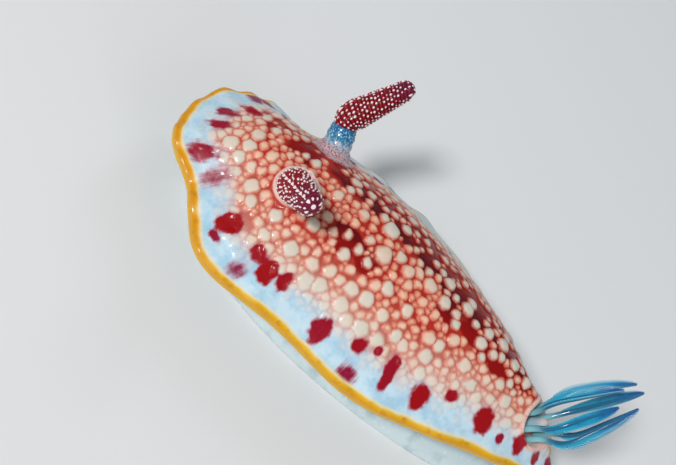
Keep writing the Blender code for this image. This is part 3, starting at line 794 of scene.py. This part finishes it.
# %% The border, the blotches and the golden band
def skin_finish():
    paint = Paint(bpy.data.materials.new("mantle_skin"))
    edge, coarse, fine = paint.value("edge"), paint.mottle(2.4), paint.mottle(0.5, 3.0)
    white = paint.mix((0.36, 0.58, 0.73), (0.55, 0.71, 0.80), (coarse + fine * 0.4).step(0.45, 0.85))
    border = (edge + (coarse - 0.5) * 2.4 + (fine - 0.5) * 0.8).step(6.2, 3.4)
    collar = paint.mix((0.74, 0.50, 0.43), (0.50, 0.20, 0.18), paint.mottle(0.3).step(0.55, 0.72) * 0.7)
    speckled = paint.mix((0.50, 0.40, 0.43), (0.36, 0.09, 0.12), paint.mottle(0.24).step(0.48, 0.62))
    violet = paint.value("violet") + (fine - 0.5) * 0.3
    crimson = paint.mix((0.32, 0.001, 0.004), (0.22, 0.006, 0.060), violet)
    blotch = paint.value("blotch") + (fine - 0.5) * 0.35
    wave = edge + (coarse - 0.5) * 0.5 + (paint.mottle(7.0) - 0.47) * 1.4
    gold = paint.coats(
        (0.70, 0.41, 0.012),
        ((0.70, 0.32, 0.008), paint.value("fore")),
        ((0.48, 0.20, 0.006), paint.mottle(1.1).step(0.50, 0.75) * 0.7),
    )
    below = paint.coats(
        (0.34, 0.46, 0.50),
        ((0.56, 0.66, 0.69), paint.value("down").step(0.3, 1.0)),
        ((0.20, 0.32, 0.37), coarse.step(0.45, 0.75) * 0.5),
        ((0.74, 0.78, 0.78), fine.step(0.62, 0.72) * 0.5),
    )
    colour = paint.coats(
        net_and_knobs(paint, edge, coarse, fine),
        (white, border * (1 - paint.value("knob") * 0.6)),
        (collar, paint.value("sheath").step(0.10, 0.55)),
        (speckled, (paint.value("cone") + (fine - 0.5) * 0.4).step(0.30, 0.60)),
        # The mauve halo and crimson core of the blotches also paint the shade in the rhinophore pockets.
        ((0.46, 0.12, 0.20), blotch.step(0.05, 0.50) * 0.45),
        (crimson, blotch.step(0.25, 0.75)),
        ((0.78, 0.64, 0.34), wave.step(1.38, 0.78)),
        (gold, wave.step(1.02, 0.58)),
        ((0.55, 0.22, 0.006), wave.step(0.65, 0.20) * 0.5),
        ((0.50, 0.30, 0.10), edge.step(0.20, 0.02) * 0.6),
        ((0.70, 0.39, 0.02), edge.step(0.0, -0.1)),
        (below, (edge + (coarse - 0.5) * 0.4).step(-0.35, -0.9)),
    )
    normal = paint.bump(fine + paint.mottle(0.18) * 0.5, 0.07, 0.7)
    return wet_flesh(paint, colour, 0.36 + (fine - 0.5) * 0.12, normal, coat=0.22)


skin = build_skin(skin_finish())
FLESH_NODES = ("mantle_front", "mantle_middle", "mantle_rear", "flanks", "head", "foot", "tail")
settle(skin, "mantle", *FLESH_NODES)

# %% [markdown]
# ## Rhinophores
#
# The two scent organs stand in sheaths. The left one is half drawn in, so its club fills a pale
# ring, and the right one rises from a speckled cone. A stout blue stalk, finely speckled too,
# carries a dark red club that leans out. The club is ringed by slanting lamellae, thin leaves
# stacked like plates, with white beads of many sizes on their edges and a line of larger ones
# up the front. The leaves and beads are relief, painted from two values stored on the points.

# %% Lines of the stalk and the club
STALK_LEAN, CLUB_LEANS = (-0.40, 0.50, 0.77), {-1: (0.32, -0.68, 0.66), 1: (0.32, 0.68, 0.66)}
STALK_LENGTHS, STALK_RADII, POCKET_DEPTH, GAP = {-1: 2.2, 1: 5.2}, (2.0, 1.72), 1.9, 0.3
CLUB_LENGTH, CLUB_HALF_WIDTH, CLUB_HALF_DEPTH, CLUB_BEND = 10.4, 2.1, 1.85, 0.25
LEAF_PITCH, BEAD_PITCH = 0.50, 0.62
CLUB_TWISTS, CLUB_RINGS, CLUB_SPOKES = {-1: 0.0, 1: 0.45}, 300, 180
SIDES = ((-1, "left"), (1, "right"))


def stalk_axis(side):
    return unit((STALK_LEAN[0], side * STALK_LEAN[1], STALK_LEAN[2]))


def bent_line(start, heading, length, steps=200):
    """Points and headings along a line whose heading is a function of its share."""
    shares = (np.arange(steps) + 0.5) / steps
    moves = np.array([heading(share) for share in shares]) * length / steps
    points = np.concatenate([[start], start + np.cumsum(moves, axis=0)])
    return points, np.array([heading(share) for share in np.linspace(0, 1, steps + 1)])


def along(line, shares):
    places = np.linspace(0, 1, len(line))
    return np.stack([np.interp(shares, places, line[:, k]) for k in range(3)], -1)


def club_radius(share):
    base = np.sqrt(np.clip(1 - (1 - np.minimum(share / 0.22, 1)) ** 2, 0, 1))
    tip = np.sqrt(np.clip(1 - np.maximum(0, (share - 0.90) / 0.10) ** 2, 0, 1))
    return (0.55 + 0.45 * base) * (1 - 0.40 * np.maximum(0, share - 0.25) / 0.75) * (0.04 + 0.96 * tip)


print("club:", 2 * CLUB_HALF_WIDTH, "mm wide, and near its tip", 2 * CLUB_HALF_WIDTH * club_radius(0.8))


# %% Tubes
def tube_faces(levels, count):
    """Quads of a tube and the triangles that close its ends on the first and last points."""
    order = np.arange(count)
    nxt, end = (order + 1) % count, (levels - 1) * count
    quads = [ring_faces(order, order, i * count, (i + 1) * count)[0][0] for i in range(levels - 1)]
    first, last = np.full(count, levels * count), np.full(count, levels * count + 1)
    caps = [np.stack([nxt, order, first], -1), np.stack([end + order, end + nxt, last], -1)]
    return np.concatenate(quads), np.concatenate(caps)


def capped(rings):
    """The points of a tube: its rings, then the middles of its first and last ring."""
    return np.concatenate([rings.reshape(-1, 3), [rings[0].mean(0)], [rings[-1].mean(0)]])


def across_axis(axis):
    """Two ways square to an axis and to each other. The first is level."""
    level = unit(np.cross((0, 0, 1), axis))
    return level, np.cross(axis, level)


def straight_tube(name, root, axis, rises, radii, count, height, finish):
    """A closed tube whose rings stand at these rises along an axis, with these radii."""
    u, v = across_axis(axis)
    turn = np.linspace(0, TAU, count, endpoint=False)
    spokes = np.cos(turn)[:, None] * u + np.sin(turn)[:, None] * v
    rings = root + axis * rises[:, None, None] + spokes[None] * radii[:, None, None]
    stored = np.concatenate([np.repeat(height, count), height[[0, -1]]])
    return mesh_object(name, capped(rings), *tube_faces(len(rises), count), {"height": stored}, finish)


print("a tube of 40 rings of 48:", len(tube_faces(40, 48)[0]), "quads")


# %% Build a stalk
def make_stalk(side, word, finish):
    shares = np.linspace(0, 1, 40)
    radii = blend(*STALK_RADII, shares) * (1 + 0.03 * np.sin(shares * 34)) * np.where(shares > 0.94, 0.93, 1)
    rises = GAP - POCKET_DEPTH + (STALK_LENGTHS[side] + 0.5) * shares
    name, root, axis = f"rhinophore_stalk_skin_{word}", rhinophore_root(side), stalk_axis(side)
    piece = straight_tube(name, root, axis, rises, radii, 48, rises, finish)
    return settle(piece, "stalk", f"rhinophore_stalk_{word}")


print("stalks:", STALK_LENGTHS[-1], "mm long on the left and", STALK_LENGTHS[1], "mm on the right")


# %% Leaves and beads
def leaves_and_beads(shares, turn, scale):
    """Leaf is 1 on a lamella's edge, bead is 1 on a bead, and the last value is how far the skin sinks."""
    swing = (turn + math.pi) % TAU - math.pi
    # A lamella slopes down from the front line to the back of the club
    slope = 2.0 * (1 - smooth((shares[:, None] - 0.86) / 0.14)) * (np.abs(swing) / math.pi)[None] ** 0.8
    climb = np.hypot(np.diff(shares) * CLUB_LENGTH, np.diff(scale[:, 0]) * CLUB_HALF_WIDTH)
    climb = np.concatenate([[0], np.cumsum(climb)])[:, None]
    phase = climb / LEAF_PITCH + slope
    number, row = np.floor(phase), phase % 1 - 0.5
    leaf = 1 - np.abs(2 * row) ** 1.8
    # Beads of many sizes lie along each edge, spaced by the girth at the leaf's middle
    middle = np.interp((number + 0.5 - slope) * LEAF_PITCH, climb[:, 0], scale[:, 0])
    girth = (CLUB_HALF_DEPTH + CLUB_HALF_WIDTH) / 2 * middle * swing[None]
    place = girth / BEAD_PITCH + 0.5 * (number % 2) + 0.22 * np.sin(5.3 * number)
    dice = np.sin(12.9 * number + 78.2 * np.floor(place)) * 437.5
    chance, other = dice % 1, (dice * 7.3) % 1
    off_edge = (row + 0.3 * (other - 0.5)) * LEAF_PITCH * 0.8
    off_place = (place % 1 - 0.5 + 0.35 * (chance - 0.5)) * BEAD_PITCH
    bead = 1 - smooth((np.hypot(off_edge, off_place) - (0.01 + 0.09 * np.sqrt(chance))) / 0.10)
    bead = bead * (other > 0.10) * smooth((np.abs(girth) - 0.32) / 0.1)
    # Pearls make the front line, larger on every other leaf, and one more sits on the tip
    pearl = np.hypot(girth + 0.06 * np.sin(2.4 * number), row * LEAF_PITCH * 0.8) - 0.03 - 0.11 * (number % 2)
    pearl, to_tip = 1 - smooth(pearl / 0.10), climb[-1] - climb
    inside = smooth(shares / 0.05)[:, None] * smooth((1.0 - shares) / 0.001)[:, None]
    bead = np.maximum(bead, pearl) * inside * smooth((to_tip - 0.40) / 0.1)
    bead = np.maximum(bead, 1 - smooth((to_tip - 0.02) / 0.10))
    return leaf, bead, 0.14 * (1 - leaf) * inside - 0.17 * bead


print("a club has about", round(CLUB_LENGTH / LEAF_PITCH), "lamellae")


# %% Build a club
def make_club(side, word, finish):
    start, end, twist = stalk_axis(side), unit(CLUB_LEANS[side]), CLUB_TWISTS[side]
    foot = rhinophore_root(side) + start * (STALK_LENGTHS[side] - POCKET_DEPTH + 2 * GAP)

    def lean(share):
        return unit(blend(start, end, smooth(share / CLUB_BEND)))

    line, headings = bent_line(foot, lean, CLUB_LENGTH)
    shares = np.linspace(0, 1, CLUB_RINGS)
    turn = np.linspace(0, TAU, CLUB_SPOKES, endpoint=False)
    centre, heading = along(line, shares), unit(along(headings, shares))
    # The front line faces the head's side, then turns about the club's own line
    forward = unit(np.array((-1.0, 0, 0)) + heading * heading[:, :1])
    forward = forward * math.cos(twist) + np.cross(heading, forward) * math.sin(twist)
    across = np.cross(heading, forward)
    scale = club_radius(shares)[:, None]
    leaf, bead, groove = leaves_and_beads(shares, turn, scale)
    a = np.maximum(0.05, CLUB_HALF_DEPTH * scale - groove) * np.cos(turn)
    b = np.maximum(0.05, CLUB_HALF_WIDTH * scale - groove) * np.sin(turn)
    rings = centre[:, None] + forward[:, None] * a[..., None] + across[:, None] * b[..., None]

    def whole(value):
        value = np.broadcast_to(value, a.shape)
        return np.concatenate([value.ravel(), [value[0, 0], value[-1, -1]]])

    values = {"leaf": whole(leaf), "bead": whole(bead), "height": whole(shares[:, None])}
    faces = tube_faces(CLUB_RINGS, CLUB_SPOKES)
    piece = mesh_object(f"rhinophore_club_skin_{word}", capped(rings), *faces, values, finish)
    return settle(piece, "club", f"rhinophore_club_{word}")


# %% Finishes of the stalk and the club
def stalk_finish():
    paint = Paint(bpy.data.materials.new("rhinophore_stalk_flesh"))
    height, fine = paint.value("height"), paint.mottle(0.5)
    blue = paint.mix((0.05, 0.30, 0.46), (0.006, 0.12, 0.30), (height + (fine - 0.5) * 2.5).step(1.5, 3.8))
    lilac = paint.mix((0.46, 0.44, 0.50), (0.30, 0.10, 0.15), paint.mottle(0.24).step(0.50, 0.64))
    blue = paint.mix(lilac, blue, (height + (fine - 0.5) * 3.0).step(1.4, 2.8))
    specks = (paint.cells(0.24) + (fine - 0.5) * 0.8).step(0.50, 0.24)
    colour = paint.mix(blue, (0.36, 0.66, 0.80), specks * 0.7)
    return wet_flesh(paint, colour, 0.35, paint.bump(fine, 0.06, 0.5), glow=0.3)


def club_finish():
    paint = Paint(bpy.data.materials.new("rhinophore_club_flesh"))
    leaf, bead, patch = paint.value("leaf"), paint.value("bead"), paint.mottle(1.5)
    # The red is painted darker down in the grooves between the lamellae, as painted shade.
    red = paint.mix((0.09, 0.001, 0.004), (0.27, 0.003, 0.008), leaf.step(0.1, 0.9))
    red = paint.mix(red, (0.09, 0.008, 0.045), (paint.value("height") + (patch - 0.5)).step(0.4, 1.0) * 0.55)
    colour = paint.mix(red, (0.86, 0.72, 0.77), bead.step(0.30, 0.80))
    return wet_flesh(paint, colour, 0.40, paint.bump(patch, 0.05, 0.5), glow=0.06, coat=0.3)


stalk_paint, club_paint = stalk_finish(), club_finish()
for side, word in SIDES:
    make_stalk(side, word, stalk_paint)
    make_club(side, word, club_paint)

# %% [markdown]
# ## The gill
#
# The slug breathes through six feathery plumes that stand in a ring behind and can shrink
# into their pocket. Each has a stout stem and two rows of soft leaflets, folded up a little so
# that the plume is a shallow V. The plumes lean with the current. Every leaflet is its own
# small leaf, because a painted comb would look flat from the side.

# %% Lines of the plumes
GILL_AXIS, GILL_SWEEP, GILL_RING = unit((0.38, 0.06, 0.92)), np.array((0.37, 0.43, 0.80)), 2.0
PLUMES, PLUME_LENGTH, PLUME_HALF_WIDTH, LEAFLET_PAIRS = 6, 15.8, 1.42, 31


def plume_line(index):
    u, v = across_axis(GILL_AXIS)
    turn = TAU * (index + 0.5) / PLUMES
    outward = unit(u * math.cos(turn) + v * math.sin(turn))
    start = gill_root + outward * GILL_RING - GILL_AXIS * (POCKET_DEPTH - GAP)
    flare = unit(GILL_AXIS + outward * 0.55 + GILL_SWEEP * 0.25)
    end = unit(GILL_SWEEP - outward * 0.17)
    length = PLUME_LENGTH * (0.88 + 0.12 * outward @ GILL_SWEEP)

    def heading(share):
        first = unit(blend(GILL_AXIS, flare, smooth((share - 0.08) / 0.14)))
        return unit(blend(first, end, smooth((share - 0.20) / 0.34)))

    line, headings = bent_line(start, heading, length)
    return line, headings, outward


print("the first plume's tip", plume_line(0)[0][-1])


# %% Build a plume
def leaflet(root, out, ahead, face, length, width, thick):
    """A small pointed leaf: its points in rings of eight, and how far out each ring lies."""
    shares = np.array([0.0, 0.12, 0.3, 0.5, 0.7, 0.87, 1.0])
    half = width * np.array([0.75, 0.95, 1.0, 0.92, 0.72, 0.42, 0.08])
    turn = np.linspace(0, TAU, 8, endpoint=False)
    curl = (ahead * 0.42 * shares[:, None] ** 2 + face * 0.30 * shares[:, None] ** 1.5) * length
    centre = root + out * (shares[:, None] * length) + curl
    across = ahead * np.cos(turn)[:, None]
    depth = face * np.sin(turn)[:, None]
    thickness = thick * blend(1.0, 0.35, shares)
    rings = centre[:, None] + across[None] * half[:, None, None] + depth[None] * thickness[:, None, None]
    return rings, shares


def make_plume(index, finish):
    line, headings, outward = plume_line(index)
    points, quads, caps, values = [], [], [], []
    total = 0

    def add(rings, height, out):
        nonlocal total
        count = rings.shape[1]
        faces, ends = tube_faces(len(rings), count)
        points.append(capped(rings))
        quads.append(faces + total)
        caps.append(ends + total)
        stored = np.stack([np.repeat(height, count), np.repeat(out, count)], -1)
        values.append(np.concatenate([stored, stored[:1], stored[-1:]]))
        total += len(points[-1])

    shares = np.linspace(0, 0.985, 50)
    centre, heading = along(line, shares), unit(along(headings, shares))
    across = unit(np.cross(heading, outward))
    face = np.cross(across, heading)
    turn = np.linspace(0, TAU, 14, endpoint=False)
    radius = blend(0.44, 0.13, shares**1.2)[:, None, None]
    spokes = across[:, None] * np.cos(turn)[:, None] + face[:, None] * np.sin(turn)[:, None]
    add(centre[:, None] + spokes * radius, shares, 0 * shares)
    for step in np.arange(LEAFLET_PAIRS) / (LEAFLET_PAIRS - 1):
        share = blend(0.25, 0.975, step)
        place, ahead = along(line, share), unit(along(headings, share))
        over_side = unit(np.cross(ahead, outward))
        up = np.cross(over_side, ahead)
        length = 1.25 * PLUME_HALF_WIDTH * math.sin(math.pi * blend(0.13, 0.975, step)) ** 0.70
        for hand in (-1, 1):
            out = unit(over_side * hand + ahead * 0.75 + up * 0.42)
            tipward, side_up = (unit(way - out * (way @ out)) for way in (ahead, up))
            rings, steps = leaflet(place, out, tipward, side_up, length, 0.13, 0.12)
            add(rings, np.full(len(steps), share), steps)
    stored = np.concatenate(values)
    values = {"height": stored[:, 0], "out": stored[:, 1]}
    parts = [np.concatenate(part) for part in (points, quads, caps)]
    piece = mesh_object(f"gill_plume_{index + 1:02d}", *parts, values, finish)
    return settle(piece, "gill", f"gill_{index + 1:02d}")


print(PLUMES, "plumes with", 2 * LEAFLET_PAIRS, "leaflets each")


# %% The gill's finish
def gill_finish():
    paint = Paint(bpy.data.materials.new("gill_flesh"))
    height, out = paint.value("height"), paint.value("out")
    patch = paint.mottle(1.4)
    blue = paint.mix((0.015, 0.36, 0.56), (0.004, 0.08, 0.32), (height + (patch - 0.5) * 0.5).step(0.45, 1.0))
    colour = paint.mix((0.01, 0.13, 0.25), blue, out.step(0.0, 0.30))
    colour = paint.mix(colour, (0.20, 0.62, 0.76), (out + (patch - 0.5) * 0.6).step(0.55, 1.0) * 0.6)
    colour = paint.mix((0.22, 0.50, 0.56), colour, (height + (patch - 0.5) * 0.1).step(0.12, 0.30))
    return wet_flesh(paint, colour, 0.28, paint.bump(paint.mottle(0.4), 0.05, 0.4), glow=0.3, coat=0.6)


gill_paint = gill_finish()
for index in range(PLUMES):
    make_plume(index, gill_paint)


# %% [markdown]
# ## Small parts
#
# The anal papilla stands in the middle of the gill, and two short oral tentacles feel the
# way under the mantle's front edge. Both are turned shapes with a soft tip.

# %% Papilla and oral tentacles
def make_finger(name, root, axis, rise, radii, finish, node):
    shares = np.linspace(0, 1, 30)
    radii = np.interp(shares, np.linspace(0, 1, len(radii)), radii)
    piece = straight_tube(name, root, unit(axis), blend(*rise, shares), radii, 32, shares, finish)
    return settle(piece, "flesh", node)


def finger_finish():
    paint = Paint(bpy.data.materials.new("pale_flesh"))
    fine = paint.mottle(0.6)
    tip = (paint.value("height") + fine * 0.4).step(0.6, 1.2)
    colour = paint.mix((0.30, 0.46, 0.54), (0.60, 0.52, 0.50), tip)
    return wet_flesh(paint, colour, 0.3, paint.bump(fine, 0.05, 0.5), glow=0.3)


finger_paint = finger_finish()
papilla = (0.9, 0.86, 0.82, 0.78, 0.75, 0.73, 0.71, 0.69, 0.66, 0.58, 0.42, 0.12)
make_finger("anal_papilla_skin", gill_root, GILL_AXIS, (-1.6, 1.3), papilla, finger_paint, "anal_papilla")
tentacle = (0.85, 0.85, 0.8, 0.7, 0.5, 0.12)
TENTACLE_TURN, TENTACLE_DROP = math.radians(14.0), 4.2
for side, word in SIDES:
    turn = np.array(-side * TENTACLE_TURN)
    top_z = skirt_under(turn, WALL_SHARE)[2]
    place = flank(turn, (top_z - TENTACLE_DROP) / (top_z - FOOT_EDGE_HEIGHT))
    axis, node = (-0.80, side * 0.55, -0.12), f"oral_tentacle_{word}"
    make_finger(f"oral_tentacle_skin_{word}", place, axis, (-0.6, 2.5), tentacle, finger_paint, node)

# %% [markdown]
# ## Floor, light and camera
#
# The slug stands on a plain pale floor under soft light. Wet flesh mirrors its lights, so only
# the small key panel is seen in it, and the sky is brightest near the horizon, where the floor
# ends. The camera looks down at the left side from 45 degrees, and its roll makes the animal
# climb to the upper left.


# %% Floor and lights
FLOOR_HALF, FLOOR_DROP = 1.5, 0.00002


def make_floor():
    mesh = bpy.data.meshes.new("floor")
    corners = [(x * FLOOR_HALF, y * FLOOR_HALF, 0) for x, y in ((-1, -1), (1, -1), (1, 1), (-1, 1))]
    mesh.from_pydata(corners, [], [(0, 1, 2, 3)])
    floor = add_object("floor", mesh)
    floor.location.z = -FLOOR_DROP
    paint = Paint(bpy.data.materials.new("pale_floor"))
    mesh.materials.append(paint.finish(Base_Color=(0.80, 0.81, 0.82, 1.0), Roughness=0.8))


def make_panel(name, place, size, power, colour, mirrored):
    light = bpy.data.lights.new(name, "AREA")
    light.shape, light.size, light.energy, light.color = "DISK", size, power, colour
    panel = add_object(name, light)
    panel.location = place
    panel.visible_glossy = mirrored
    panel.rotation_euler = (Vector((0, 0, 0.008)) - Vector(place)).to_track_quat("-Z", "Y").to_euler()


make_floor()
make_panel("key_panel", (-0.42, -0.62, 0.66), 0.18, 7.6, (1.0, 0.98, 0.95), True)
make_panel("fill_panel", (0.75, -0.50, 0.45), 0.60, 1.6, (0.92, 0.96, 1.0), False)
make_panel("rim_panel", (0.10, 0.80, 0.55), 0.40, 1.3, (0.70, 0.88, 1.0), False)

# %% Sky
sky = Paint(bpy.data.worlds.new("studio"), "Background")
place = sky.node("ShaderNodeTexCoord", {}, {}, "Generated")
height = sky.node("ShaderNodeSeparateXYZ", {}, {"Vector": place}, "Z")
ends = {"Value": height, "From Max": 0.30, "To Min": 0.62, "To Max": 0.25}
shade = sky.node("ShaderNodeMapRange", {}, ends)
bpy.context.scene.world = sky.finish(Strength=shade, Color=(0.94, 0.97, 1.0, 1.0))
bpy.context.scene.view_settings.view_transform = "Standard"
print("sky:", bpy.context.scene.world.name)

# %% Camera
AZIMUTH, ELEVATION, ROLL = math.radians(-9.73), math.radians(44.96), math.radians(52.51)
TARGET, DISTANCE, FOCAL_PIXELS, PICTURE_WIDTH = Vector((-5.48, -0.75, 10.0)) * MM, 132.53 * MM, 1078.65, 676


def make_camera():
    data = bpy.data.cameras.new("camera")
    data.sensor_width = 36.0
    data.lens = FOCAL_PIXELS * data.sensor_width / PICTURE_WIDTH
    data.clip_start, data.clip_end = 0.005, 10.0
    camera = add_object("camera", data)
    sine, cosine, level = math.sin(AZIMUTH), math.cos(AZIMUTH), math.cos(ELEVATION)
    right, behind = Vector((cosine, sine, 0)), Vector((sine * level, -cosine * level, math.sin(ELEVATION)))
    up = behind.cross(right)
    right, up = right * math.cos(ROLL) + up * math.sin(ROLL), up * math.cos(ROLL) - right * math.sin(ROLL)
    turned = Matrix((right, up, behind)).transposed().to_4x4()
    camera.matrix_world = Matrix.Translation(TARGET + behind * DISTANCE) @ turned
    bpy.context.scene.camera = camera
    return camera


camera = make_camera()
print("camera at", camera.matrix_world.translation[:], "lens", camera.data.lens)

# %% Update the scene
bpy.context.view_layer.update()
